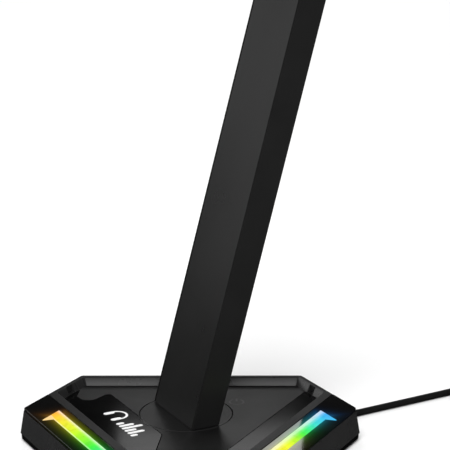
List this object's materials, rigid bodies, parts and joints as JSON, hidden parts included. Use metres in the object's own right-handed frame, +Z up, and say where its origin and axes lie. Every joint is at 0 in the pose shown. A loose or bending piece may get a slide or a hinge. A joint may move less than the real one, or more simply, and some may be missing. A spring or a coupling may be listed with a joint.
{
  "type": "headphone stand",
  "caption": "Headphone stand with a six-sided weighted base, glowing corner light bars, a leaning twist-lock post and an arched headband saddle, with a coiled USB lead.",
  "frame": {"origin": "on the surface it stands on, below the middle of the stand without its lead", "axes": "+Z up, +Y towards the wide back of the base, +X to the right when seen from the base's narrow front"},
  "size_m": [0.2866, 0.1937, 0.2735],
  "materials": {
    "satin_black": "satin moulded ABS with a fine texture",
    "post_black": "fine matt soft-touch coat",
    "gloss_black": "piano black",
    "light_left": "milky diffuser lit orange at the back through yellow to green at the front",
    "light_right": "milky diffuser lit blue at the back through green to yellow at the front",
    "rubber_black": "matt moulded rubber",
    "cable_black": "smooth PVC jacket",
    "steel": "zinc-plated steel",
    "board": "green solder mask",
    "white_plastic": "white moulded plastic"
  },
  "bodies": {
    "base": {"base_top_shell": "satin_black", "left_light_window": "gloss_black", "right_light_window": "gloss_black", "left_light_bar": "light_left", "right_light_bar": "light_right", "left_led_strip": "white_plastic", "right_led_strip": "white_plastic", "badge_panel": "gloss_black", "side_panel": "gloss_black", "base_bottom_plate": "satin_black", "foot_rear_left": "rubber_black", "foot_rear_right": "rubber_black", "foot_front_left": "rubber_black", "foot_front_right": "rubber_black", "base_screw_rear_left": "steel", "base_screw_rear_right": "steel", "base_screw_front_left": "steel", "base_screw_front_right": "steel", "ballast_plate": "steel", "control_board": "board", "touch_key_pad": "board", "twist_lock_ring": "steel", "strain_relief": "cable_black", "cable_run": "cable_black", "cable_coil": "cable_black", "cable_tie": "rubber_black", "plug_body": "satin_black", "plug_shell": "steel", "plug_tongue": "white_plastic"},
    "post": {"post_foot": "satin_black", "foot_tenon": "steel", "post_screw_left": "steel", "post_screw_right": "steel", "post_body": "post_black", "post_front_cover": "post_black", "head_body": "post_black", "head_underside": "satin_black", "head_screw_front": "steel", "head_screw_rear": "steel", "head_tenon": "steel", "head_pad": "rubber_black"}
  },
  "joints": [
    {"name": "post_twist", "type": "hinge", "parent": "base", "child": "post", "pos_m": [-0.002, 0.0296, 0.0135], "axis": [0, 0, 1], "range_deg": [0, 45]}
  ]
}
